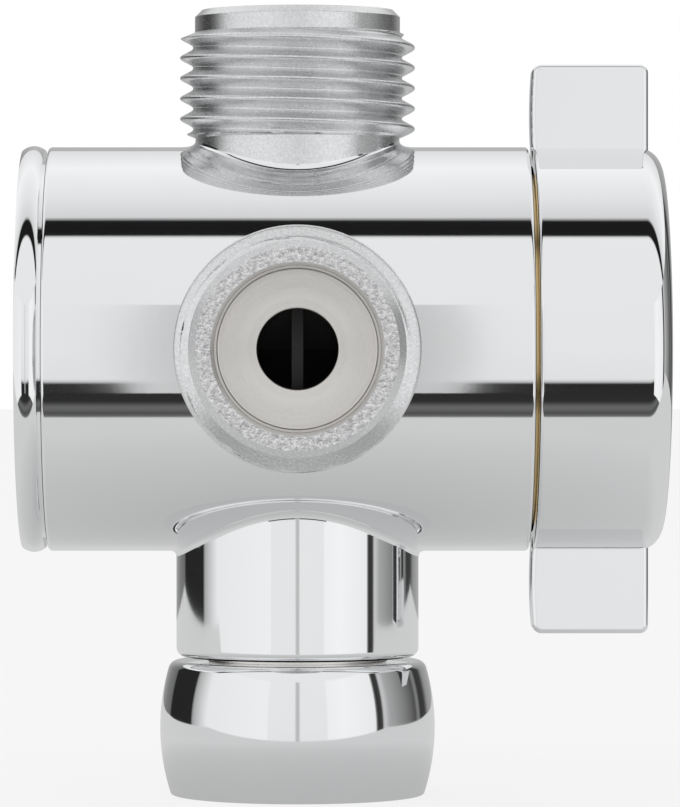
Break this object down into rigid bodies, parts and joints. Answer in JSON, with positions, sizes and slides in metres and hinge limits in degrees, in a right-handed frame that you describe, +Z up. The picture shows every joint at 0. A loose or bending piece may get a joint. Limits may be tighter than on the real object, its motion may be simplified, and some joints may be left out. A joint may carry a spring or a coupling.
{
  "type": "shower diverter tee",
  "caption": "Chromed shower diverter tee: swivel nut inlet below, threaded outlets on top and in front, and a winged handle on one end that turns an inner rotor.",
  "frame": {"origin": "on the inlet axis, in the plane of the swivel nut's lower rim", "axes": "+Z up along the inlet and top outlet, +X along the barrel towards the handle, -Y along the front outlet"},
  "size_m": [0.0579, 0.0483, 0.0699],
  "materials": {
    "chrome": "polished chrome plate on brass, with the plate thinner and duller on threads and in bores",
    "handle_chrome": "polished chrome plate on a die-cast handle",
    "brass": "turned, unplated",
    "steel": "stainless, plain",
    "rubber": "moulded, matt",
    "rotor_plastic": "moulded black acetal, satin",
    "white_plastic": "smooth, low friction"
  },
  "bodies": {
    "body": {"valve_body": "chrome", "end_cap": "chrome", "end_cap_o_ring": "rubber", "bonnet": "brass", "bonnet_o_ring": "rubber", "nut_retaining_ring": "steel", "inlet_washer": "rubber", "inlet_screen": "steel"},
    "handle": {"rotor": "rotor_plastic", "rotor_o_ring_left": "rubber", "rotor_o_ring_right": "rubber", "seal_pad": "rubber", "seal_pad_spring": "steel", "spindle": "brass", "spindle_o_ring_inner": "rubber", "spindle_o_ring_outer": "rubber", "thrust_washer": "white_plastic", "handle": "handle_chrome", "handle_screw": "steel", "handle_screw_washer": "steel", "handle_button": "handle_chrome"},
    "nut": {"swivel_nut": "chrome"}
  },
  "joints": [
    {"name": "handle_turn", "type": "hinge", "parent": "body", "child": "handle", "pos_m": [0, 0, 0.0397], "axis": [1, 0, 0], "range_deg": [-45, 45]},
    {"name": "nut_turn", "type": "hinge", "parent": "body", "child": "nut", "pos_m": [0, 0, 0], "axis": [0, 0, 1], "continuous": true}
  ]
}
